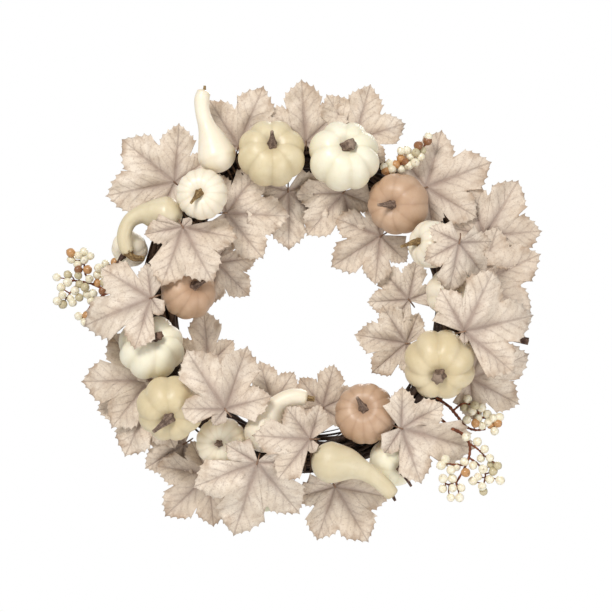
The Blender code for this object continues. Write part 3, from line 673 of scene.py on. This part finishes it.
def make_leaf(index, node, material, petiole_material):
    rng = np.random.default_rng(100 + index)
    x, z, heading, length = LEAVES[node]
    length = length * MM * LEAF_SCALE
    edge, lobe_of, lobes = leaf_edge(node, rng)
    count = len(edge)
    shares = np.linspace(0, 1, LEAF_RINGS + 1)[1:] ** 0.85
    flat = np.vstack([np.zeros((1, 2)), *[edge * share for share in shares]])
    reach = np.concatenate([[0], *[np.full(count, share) for share in shares]])
    turn = Matrix.Rotation(math.radians(heading), 2)
    on_door = flat * length @ np.array(turn).T + np.array((x, z)) * MM + np.array((CENTRE.x, CENTRE.z))
    depth = cad_height(node, on_door)

    angles = np.arctan2(flat[:, 1], flat[:, 0])
    radius = np.linalg.norm(flat, axis=1)
    groove = np.zeros(len(flat))
    fold = np.full(len(flat), 1.0)
    curl = np.zeros(len(flat))
    for (angle, lobe_reach), bend in zip(lobes, rng.uniform(-0.5, 1.0, len(lobes))):
        local = np.array([lobe_frame(point, angle, lobe_reach) for point in flat])
        ahead = local[:, 0] > 0
        near = np.exp(-(local[:, 1] / 0.055) ** 2) * ahead
        groove = np.maximum(groove, near * np.clip(1.1 - local[:, 0], 0, 1))
        fold = np.where(ahead, np.minimum(fold, np.abs(local[:, 1])), fold)
        tip = np.exp(-(local[:, 1] / 0.35) ** 2) * np.clip(local[:, 0] - 0.4, 0, 1) ** 2
        curl += bend * tip
    fold = np.clip(fold, 0, 0.3) * np.clip(radius / 0.3, 0, 1)
    waves = np.array([noise.noise(Vector((*point * 3.2, index * 7.7))) for point in flat])
    crumple = np.array([noise.noise(Vector((*point * 9.0, index * 3.3))) for point in flat])
    relief = groove * VEIN_GROOVE - fold * FOLD_RISE - curl * CURL_RISE
    relief += (waves * 8 + crumple * 2.4) * MM * np.clip(radius * 1.6, 0, 1)
    relief += np.sin(angles * 19 + rng.uniform(0, 6)) * reach ** 5 * 0.9 * MM
    depth = np.minimum(depth + relief * (length / (80 * MM)), -BACK_CLEARANCE)
    points = np.stack([on_door[:, 0], depth, on_door[:, 1]], axis=1)

    faces, owners = [], []
    for i in range(count):
        j = (i + 1) % count
        faces.append((0, 1 + i, 1 + j))
        owners.append(lobe_of[i])
        for ring in range(LEAF_RINGS - 1):
            a, b = 1 + ring * count, 1 + (ring + 1) * count
            faces.append((a + i, b + i, b + j, a + j))
            owners.append(lobe_of[i])
    blade = new_mesh_object(node + "_blade", points, faces)
    uv = blade.data.uv_layers.new(name="lobe")
    cached = {}
    for polygon, owner in zip(blade.data.polygons, owners):
        angle, lobe_reach = lobes[owner] if owner is not None else (180, 1)
        for loop in polygon.loop_indices:
            vert = blade.data.loops[loop].vertex_index
            key = (vert, owner)
            if key not in cached:
                cached[key] = lobe_frame(flat[vert], angle, lobe_reach)
            uv.data[loop].uv = cached[key]
    set_points(blade, "tone", np.full(len(flat), rng.uniform(0, 1)))
    set_points(blade, "edge", np.clip((reach - 0.80) / 0.20, 0, 1))
    # Painted shade share, strongest at the leaf's centre.
    set_points(blade, "painted_centre_shade", np.clip(1 - radius / 0.42, 0, 1))
    thick = blade.modifiers.new("sheet", "SOLIDIFY")
    thick.thickness = LEAF_SHEET
    thick.offset = 0
    settle(blade, material, ROOT)
    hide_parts(node)

    along = -unit(heading)
    start = points[0]
    bends = [(-2, 0.2), (2, 0.2), (6, -2.5), (9, -8), (11, -15)]
    line = catmull([(start[0] + along[0] * s * MM, start[1] - h * MM, start[2] + along[1] * s * MM)
                    for s, h in bends], 5)
    line[:, 1] = np.minimum(line[:, 1], -PETIOLE_DEPTH)
    radii = np.linspace(1.0, 0.8, len(line)) * MM
    petiole = new_mesh_object(node + "_petiole", *tube(line, radii, 8))
    set_points(petiole, "tone", np.zeros(len(petiole.data.vertices)))
    settle(petiole, petiole_material, ROOT)


# Pumpkins and gourds

def crown_frame(radius, crown):
    """The body's axis, through the point where its stem leaves it, and the turn that brings +Z onto it."""
    right, up = crown[0] / (0.92 * radius), crown[1] / (0.92 * radius)
    toward = math.sqrt(max(0.0, 1 - right * right - up * up))
    axis = Vector((right, -toward, up)).normalized()
    return axis, axis.to_track_quat("Z", "Y").to_matrix()


def pumpkin_centre(node, place, radius, turn):
    """The body's middle: across from the table, and its depth from the back of the CAD solid."""
    _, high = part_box(node)
    steps = np.arange(2 * CAD_LOBES) * math.pi / CAD_LOBES
    reach = [CAD_BOTTOM * abs(turn[1][2])]
    for latitude in np.radians(CAD_LATITUDES):
        wide = math.cos(latitude) ** CAD_FULLNESS
        height = CAD_SQUAT * math.sin(latitude)
        around = np.cos(steps) * turn[1][0] * wide + np.sin(steps) * turn[1][1] * wide
        reach.append((around + turn[1][2] * height).max())
    return Vector(on_wreath(place[0], high.y - max(reach) * radius, place[1]))


def make_pumpkin(index, node, bodies, stems):
    place, radius, lobes, crease_depth, crown, *stem, finish, stem_finish = PUMPKINS[node]
    lean, stem_length, stem_radius = stem
    rng = np.random.default_rng(300 + index)
    radius = radius * MM
    axis, turn = crown_frame(radius / MM, crown)
    centre = pumpkin_centre(node, place, radius, turn)
    across, rows = max(96, 12 * lobes), BODY_ROWS
    around = np.arange(across) * 2 * np.pi / across
    spread = np.cumsum(rng.uniform(0.85, 1.15, lobes))
    spread = np.concatenate([[0], spread / spread[-1] * lobes])
    lobe_phase = np.interp(around / (2 * np.pi) * lobes, spread, np.arange(lobes + 1))
    bulge = np.abs(np.sin(np.pi * lobe_phase)) ** 0.8
    points, crease, crown_share = [], [], []
    for row in range(1, rows):
        latitude = math.pi * (0.5 - row / rows)
        wide = radius * math.cos(latitude) ** BODY_FULLNESS
        height = BODY_SQUAT * radius * math.sin(latitude)
        from_axis = wide / radius
        dimple = CROWN_DIMPLE if latitude > 0 else BOTTOM_DIMPLE
        height -= math.copysign(dimple * radius * math.exp(-(from_axis / 0.34) ** 2), latitude)
        depth = crease_depth * (0.12 + 0.88 * min(1, from_axis / 0.8) ** 1.6)
        ring = wide * (1 - depth * (1 - bulge))
        points.append(np.stack([ring * np.cos(around), ring * np.sin(around),
                                height - 0.35 * depth * radius * (1 - bulge) * math.sin(latitude)], axis=1))
        crease.append((1 - bulge) ** 2 * min(1, from_axis / 0.5))
        crown_share.append(np.full(across, math.exp(-(from_axis / 0.24) ** 2) if latitude > 0 else 0))
    points = np.concatenate(points)
    poles = np.array([(0, 0, points[0, 2]), (0, 0, points[-1, 2])])
    points = np.vstack([points, poles])
    faces = rows_of_faces(rows - 2, across)
    top, bottom = len(points) - 2, len(points) - 1
    faces += [(top, i, (i + 1) % across) for i in range(across)]
    last = (rows - 2) * across
    faces += [(bottom, last + (i + 1) % across, last + i) for i in range(across)]
    wobble = np.array([noise.noise(Vector(p) * 22 + Vector((index * 3.1, 0, 0))) for p in points])
    points *= (1 + 0.018 * wobble)[:, None]
    world = points @ np.array(turn).T + np.array(centre)
    body = new_mesh_object(node + "_body", world, faces)
    set_points(body, "crease", np.concatenate([*crease, [0, 0]]))
    set_points(body, "crown", np.concatenate([*crown_share, [1, 0]]))
    settle(body, bodies[finish], ROOT)
    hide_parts(node)

    # The stem grows out of the dimple, flares where it meets the body, and leans.
    foot = (BODY_SQUAT - CROWN_DIMPLE) * radius
    tip = 0.66 * radius + stem_length * MM
    lean = np.array((lean[0], 0, lean[1])) * MM
    up = np.array(axis)
    line, radii = [], []
    for share in np.linspace(0, 1, 15):
        height = foot - 2 * MM + (tip - foot + 2 * MM) * share
        line.append(np.array(centre) + up * height + lean * share ** 1.7)
        if node in BLUNT_STEMS:
            swell = 1 + 0.6 * (1 - share) ** 4 + 0.1 * share ** 3
        else:
            swell = 0.42 + 1.35 * (1 - share) ** 1.6
        radii.append(stem_radius * MM * swell)
    add_stem(node, np.array(line), radii, stems[stem_finish], rng)


def add_stem(node, line, radii, material, rng):
    """A ridged, uneven stem along the line, with its cut at the far end."""
    ridges = 5
    sides = 30
    points, faces = tube(line, radii, sides, ridges, 0.30, rng.uniform(0.6, 1.4))
    jitter = np.array([noise.noise(Vector(p) * 260) for p in points])
    centre_of = np.vstack([np.repeat(line, sides, axis=0), line[0], line[-1]])
    points = centre_of + (points - centre_of) * (1 + 0.12 * jitter)[:, None]
    stem = new_mesh_object(node + "_stem", points, faces)
    around = np.arange(sides) * 2 * np.pi / sides
    groove = np.tile(0.5 - 0.5 * np.cos(ridges * around), len(line))
    cut = np.zeros(len(points))
    cut[-1] = 1
    cut[(len(line) - 1) * sides:len(line) * sides] = 0.7
    set_points(stem, "crease", np.concatenate([groove, [0, 0]]))
    set_points(stem, "crown", cut)
    settle(stem, material, ROOT)


def make_gourd(index, node, bodies, stems):
    rows, finish, stem_finish = GOURDS[node]
    rng = np.random.default_rng(500 + index)
    low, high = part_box(node)
    depth = (low.y + high.y) / 2
    first, second = np.array(rows[0][:2], float), np.array(rows[1][:2], float)
    back = (first - second) / np.linalg.norm(first - second)
    swell = rows[0][2]
    start = [(*(first + back * swell * math.sin(a)), swell * math.cos(a))
             for a in np.radians((86, 72, 54, 36, 18))]
    line = catmull([*start, *rows[:-GOURD_STEM_POINTS]], 7)
    tail = line[-1]
    direction = (line[-1] - line[-3])[:2]
    direction /= np.linalg.norm(direction)
    rounding = [(*(tail[:2] + direction * tail[2] * 0.42 * math.sin(a)), tail[2] * math.cos(a))
                for a in np.radians((25, 45, 62, 76))]
    line = np.vstack([line, rounding])
    centre_line = np.stack(on_wreath(line[:, 0], np.full(len(line), depth), line[:, 1]), axis=1)
    radii = np.maximum(line[:, 2], 0.6) * MM
    points, faces = tube(centre_line, radii, GOURD_SIDES, ridges=5, ridge_depth=0.012, twist=0.5)
    wobble = np.array([noise.noise(Vector(p) * 30 + Vector((0, index * 2.7, 0))) for p in points])
    middle = np.vstack([np.repeat(centre_line, GOURD_SIDES, axis=0), centre_line[0], centre_line[-1]])
    points = middle + (points - middle) * (1 + 0.035 * wobble)[:, None]
    body = new_mesh_object(node + "_body", points, faces)
    around = np.arange(GOURD_SIDES) * 2 * np.pi / GOURD_SIDES
    crease = np.tile((0.5 - 0.5 * np.cos(7 * around)) ** 4 * 0.35, len(line))
    share = np.repeat(np.clip((np.arange(len(line)) - len(line) + 9) / 9, 0, 1), GOURD_SIDES)
    set_points(body, "crease", np.concatenate([crease, [0, 0]]))
    set_points(body, "crown", np.concatenate([share, [0, 1]]))
    settle(body, bodies[finish], ROOT)
    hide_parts(node)

    tip = [np.array(on_wreath(x, depth, z)) for x, z, _ in rows[-GOURD_STEM_POINTS - 1:]]
    stem_line = catmull(tip, 7)
    stem_radii = np.linspace(rows[-1][2] * 1.55, rows[-1][2], len(stem_line)) * MM
    stem_radii[:4] *= np.array((1.5, 1.35, 1.2, 1.08))
    add_stem(node, stem_line, stem_radii, stems[stem_finish], rng)


# Berry sprays

def berry(centre, axis, rng, tone):
    """A slightly uneven ball with a small dark tip."""
    across, rows = 16, 10
    turn = np.array(Vector(axis).to_track_quat("Z", "Y").to_matrix())
    points, tips = [], []
    size = BERRY_RADIUS * rng.uniform(0.91, 1.07)
    for row in range(rows + 1):
        latitude = math.pi * (0.5 - row / rows)
        wide = math.cos(latitude)
        height = math.sin(latitude) * 1.04
        if row == 0:
            height += 0.10
        for step in range(across):
            angle = 2 * math.pi * step / across
            dent = 1 + 0.03 * math.sin(3 * angle + 5 * tone) * wide
            points.append((wide * math.cos(angle) * dent, wide * math.sin(angle) * dent, height))
            tips.append(1.0 if row == 0 else 0.0)
    faces = rows_of_faces(rows, across)
    points = np.array(points) * size @ turn.T + centre
    return points, faces, np.array(tips)


def add_peg(node, depth, material):
    """The twig on the wreath that a spray turns on, from the ring to just behind the spray's foot."""
    x, z = BRANCHES[node][0][0]
    foot = np.array(on_wreath(x, depth + PEG_GAP, z))
    outward = np.array((x, 0, z)) / math.hypot(x, z)
    ring_point = np.array((CENTRE.x, -0.7 * RING_DEPTH, CENTRE.z)) + outward * (RING_RADIUS + 0.5 * RING_TUBE)
    bend = np.array((foot[0], foot[1] * 0.6 + ring_point[1] * 0.4, foot[2]))
    line = catmull([foot, bend, ring_point], 8)
    peg = new_mesh_object(node + "_peg", *tube(line, np.linspace(1.5, 1.9, len(line)) * MM, 10))
    set_points(peg, "tone", np.zeros(len(peg.data.vertices)))
    settle(peg, material, ROOT)


def make_spray(index, node, berry_finish, stem_finish):
    """Branches at the node's middle depth, and berries before and behind them on short stalks."""
    rng = np.random.default_rng(700 + index)
    low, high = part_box(node)
    depth = (low.y + high.y) / 2 - SPRAY_FORWARD.get(node, 0)
    twigs, lines = [], []
    for number, bends in enumerate(BRANCHES[node]):
        line = catmull([on_wreath(x, depth + rng.uniform(-1.5, 1.5) * MM, z) for x, z in bends], 8)
        thick = (1.9, 1.2) if number == 0 else (1.3, 0.9)
        knots = 1 + 0.18 * np.sin(np.arange(len(line)) * 2.1 + number)
        twigs.append(tube(line, np.linspace(*thick, len(line)) * knots * MM, 10))
        lines.append(line[2:])
    lines = np.concatenate(lines)
    balls, tones, tips = [], [], []
    places = [(kind, x, z) for kind in BERRIES[node] for x, z in BERRIES[node][kind]]
    for number, (kind, x, z) in enumerate(places):
        lift = (3.6 * math.sin(2.4 * number + 0.7) - 1.4) * MM
        place = np.array(on_wreath(x, depth + lift, z))
        foot = lines[np.argmin(np.linalg.norm(lines - place, axis=1))]
        away = place - foot
        middle = foot + away * 0.5 + rng.uniform(-1.6, 1.6, 3) * MM
        twigs.append(tube(catmull([foot, middle, place], 6), np.linspace(0.9, 0.65, 13) * MM, 7))
        tone = BERRY_TONES[kind] + rng.uniform(-0.012, 0.012)
        facing = away / np.linalg.norm(away) + np.array((0, -0.8, 0)) * rng.uniform(0, 1)
        points, faces, tip = berry(place, facing, rng, tone)
        balls.append((points, faces))
        tones.append(np.full(len(points), tone))
        tips.append(tip)
    berries = new_mesh_object(node + "_berries", *joined(balls))
    set_points(berries, "tone", np.concatenate(tones))
    set_points(berries, "crown", np.concatenate(tips))
    settle(berries, berry_finish, node)
    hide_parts(node)
    add_peg(node, depth, stem_finish)
    stems = new_mesh_object(node + "_stems", *joined(twigs))
    set_points(stems, "tone", np.zeros(len(stems.data.vertices)))
    settle(stems, stem_finish, node)
    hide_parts(node)


# The vine ring

def strand(rng, turns, reach, size, steps, start=None, sweep=2 * math.pi):
    """One vine laid round the ring: it wanders inside the bundle and never passes the flat back."""
    first = rng.uniform(0, 2 * math.pi) if start is None else start
    roll = rng.uniform(0, 2 * math.pi)
    wander = rng.uniform(0, 100)
    line = []
    for share in np.linspace(0, 1, steps):
        angle = first + sweep * share
        spin = roll + turns * sweep * share
        loose = 1 + 0.16 * noise.noise(Vector((math.cos(angle) * 3 + wander, math.sin(angle) * 3, share)))
        out = reach * loose
        off = RING_RADIUS + out * math.cos(spin)
        depth = RING_DEPTH - RING_TUBE + out * math.sin(spin)
        depth = max(depth, size + 0.4 * MM)
        line.append((CENTRE.x + off * math.cos(angle), -depth, CENTRE.z + off * math.sin(angle)))
    return np.array(line)


def make_ring(material, tie_material):
    rng = np.random.default_rng(11)
    parts, tones = [], []
    for number in range(VINES):
        layer = number / (VINES - 1)
        size = rng.uniform(1.3, 3.0) * MM
        reach = RING_TUBE * (0.28 + 0.70 * math.sqrt(layer)) - size
        turns = rng.choice((-2, -1, 1, 2, 3))
        steps = 170
        line = strand(rng, turns, reach, size, steps)
        wave = 1 + 0.16 * np.sin(np.linspace(0, 60, steps) + number)
        points, faces = tube(line, size * wave, 8)
        parts.append((points, faces))
        tones.append(np.full(len(points), rng.uniform(0, 1) ** 2))
    for number in range(LOOSE_TWIGS):
        size = rng.uniform(0.7, 1.3) * MM
        start = rng.uniform(0, 2 * math.pi)
        sweep = rng.uniform(0.25, 0.7) * rng.choice((-1, 1))
        line = strand(rng, rng.uniform(1.5, 3.5), RING_TUBE * 0.96, size, 26, start, sweep)
        outward = line[-1] - np.array((CENTRE.x, -RING_DEPTH / 2, CENTRE.z))
        outward[1] = 0
        outward /= np.linalg.norm(outward)
        side = rng.choice((-0.4, 1.0))
        lift = np.linspace(0, 1, len(line)) ** 3 * rng.uniform(4, 14) * MM * side
        line = line + lift[:, None] * outward
        points, faces = tube(line, np.linspace(size, size * 0.45, len(line)), 6)
        parts.append((points, faces))
        tones.append(np.full(len(points), rng.uniform(0.2, 1)))
    ring = new_mesh_object("vine_ring_bundle", *joined(parts))
    set_points(ring, "tone", np.concatenate(tones))
    settle(ring, material, ROOT)
    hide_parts("vine_ring")

    for number in range(TIES):
        middle = 2 * math.pi * (number + 0.35 * rng.uniform(-1, 1)) / TIES
        line = []
        for share in np.linspace(0, 1, 34 * TIE_COILS):
            angle = middle + (share - 0.5) * 0.11
            spin = 2 * math.pi * TIE_COILS * share
            off = RING_RADIUS + RING_TUBE * math.cos(spin)
            depth = max(RING_DEPTH - RING_TUBE + RING_TUBE * math.sin(spin), TIE_RADIUS + 0.1 * MM)
            line.append((CENTRE.x + off * math.cos(angle), -depth, CENTRE.z + off * math.sin(angle)))
        coil = tube(np.array(line), np.full(len(line), TIE_RADIUS), 8)
        tie = new_mesh_object(f"vine_tie_{number + 1}", *coil)
        set_points(tie, "tone", np.full(len(tie.data.vertices), 0.35))
        settle(tie, tie_material, ROOT)


# The hanger

def make_hanger(material):
    """Two wires twisted together into the loop, and the staple over its lower bar."""
    low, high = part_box("hanger_loop")
    half = (high.x - low.x) / 2 - HANGER_WIRE
    bottom, top = low.z + HANGER_WIRE, high.z - HANGER_WIRE
    back, front = high.y - HANGER_WIRE, low.y + HANGER_WIRE
    outline = [(half * share, 0) for share in (-0.9, -0.6, -0.3, 0, 0.3, 0.6, 0.9)]
    for step in range(17):
        angle = math.radians(step * 11.25)
        outline.append((half * math.cos(angle), (top - bottom) - half * (1 - math.sin(angle))))
    outline.append(outline[0])
    rows = []
    for x, up in outline:
        share = up / (top - bottom)
        rows.append((x, front + (back - front) * share, bottom + up))
    spine = catmull(rows, 8)
    _, side, up = frames_along(spine)
    parts = []
    for strand_number in (0, 1):
        phase = np.linspace(0, 2 * math.pi * STRAND_TURNS, len(spine)) + math.pi * strand_number
        line = spine + STRAND_OFFSET * (np.cos(phase)[:, None] * side + np.sin(phase)[:, None] * up)
        parts.append(tube(line, np.full(len(line), STRAND_RADIUS), 8))
    loop = new_mesh_object("hanger_twisted_loop", *joined(parts))
    settle(loop, material, "hanger")
    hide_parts("hanger_loop")
    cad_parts["hanger_staple"].data.materials.clear()
    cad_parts["hanger_staple"].data.materials.append(material)


# Stage, lights and camera

def area_light(name, place, target, size, power, colour=(1, 1, 1)):
    data = bpy.data.lights.new(name, "AREA")
    data.shape = "DISK"
    data.size = size
    data.energy = power
    data.color = colour
    light = bpy.data.objects.new(name, data)
    light.location = place
    light.rotation_euler = (Vector(target) - Vector(place)).to_track_quat("-Z", "Y").to_euler()
    bpy.context.scene.collection.objects.link(light)


def make_stage():
    world = bpy.data.worlds.new("studio")
    bpy.context.scene.world = world
    world.use_nodes = True
    nodes, links = world.node_tree.nodes, world.node_tree.links
    soft = nodes["Background"]
    soft.inputs["Color"].default_value = (1, 1, 1, 1)
    soft.inputs["Strength"].default_value = AMBIENT
    seen = nodes.new("ShaderNodeBackground")
    seen.inputs["Color"].default_value = (1, 1, 1, 1)
    seen.inputs["Strength"].default_value = 1.0
    path, mix = nodes.new("ShaderNodeLightPath"), nodes.new("ShaderNodeMixShader")
    links.new(path.outputs["Is Camera Ray"], mix.inputs["Fac"])
    links.new(soft.outputs[0], mix.inputs[1])
    links.new(seen.outputs[0], mix.inputs[2])
    links.new(mix.outputs[0], nodes["World Output"].inputs["Surface"])
    bpy.ops.mesh.primitive_circle_add(vertices=96, radius=1.3, fill_type="NGON",
                                      location=(0, 0, CENTRE.z - 0.62))
    floor = bpy.context.active_object
    floor.name = "studio_floor"
    n = Nodes("floor")
    grain = n.noise(9, 2)
    floor.data.materials.append(n.finish(n.mix(grain, (0.86, 0.86, 0.86), (0.90, 0.90, 0.89)), 0.7))


def make_lights_and_camera():
    aim = (0, -0.05, CENTRE.z)
    area_light("key", (-0.9, -2.2, CENTRE.z + 1.5), aim, 0.9, 47, (1, 0.99, 0.975))
    area_light("fill", (1.4, -1.7, CENTRE.z - 0.5), aim, 1.2, 14, (0.99, 0.99, 1))
    area_light("back", (0.5, 1.3, CENTRE.z + 0.9), aim, 1.1, 16)
    camera = bpy.data.objects.new("camera", bpy.data.cameras.new("camera"))
    camera.data.lens = LENS
    camera.data.sensor_width = SENSOR
    distance = FRAME_WIDTH / SENSOR * LENS
    camera.location = (FRAME_OFFSET.x, -distance - FRAME_DEPTH, CENTRE.z + FRAME_OFFSET.y)
    camera.rotation_euler = (math.pi / 2, 0, 0)
    bpy.context.scene.collection.objects.link(camera)
    bpy.context.scene.camera = camera


def main():
    bpy.context.scene.view_settings.view_transform = "Standard"
    fabric = leaf_material()
    petiole = twig_material("petiole", srgb(120, 92, 74), srgb(158, 128, 106), srgb(196, 172, 150))
    bodies = {name: fruit_material(name, *(srgb(*colour) for colour in colours), gloss)
              for name, (*colours, gloss) in FRUIT_FINISHES.items()}
    stems = {name: stem_material(name, *(srgb(*colour) for colour in colours))
             for name, colours in STEM_FINISHES.items()}
    for index, node in enumerate(LEAVES):
        make_leaf(index, node, fabric, petiole)
    for index, node in enumerate(PUMPKINS):
        make_pumpkin(index, node, bodies, stems)
    for index, node in enumerate(GOURDS):
        make_gourd(index, node, bodies, stems)
    berries = berry_material()
    spray_stem = twig_material("spray_stem", srgb(84, 44, 28), srgb(138, 76, 46), srgb(176, 116, 76))
    for index, node in enumerate(BRANCHES):
        make_spray(index, node, berries, spray_stem)
    bark = twig_material("vine_bark", srgb(30, 21, 17), srgb(62, 44, 34), srgb(112, 86, 66))
    make_ring(bark, twig_material("tie_bark", srgb(52, 36, 27), srgb(92, 68, 50), srgb(140, 112, 84)))
    make_hanger(wire_material())
    make_stage()
    make_lights_and_camera()


main()
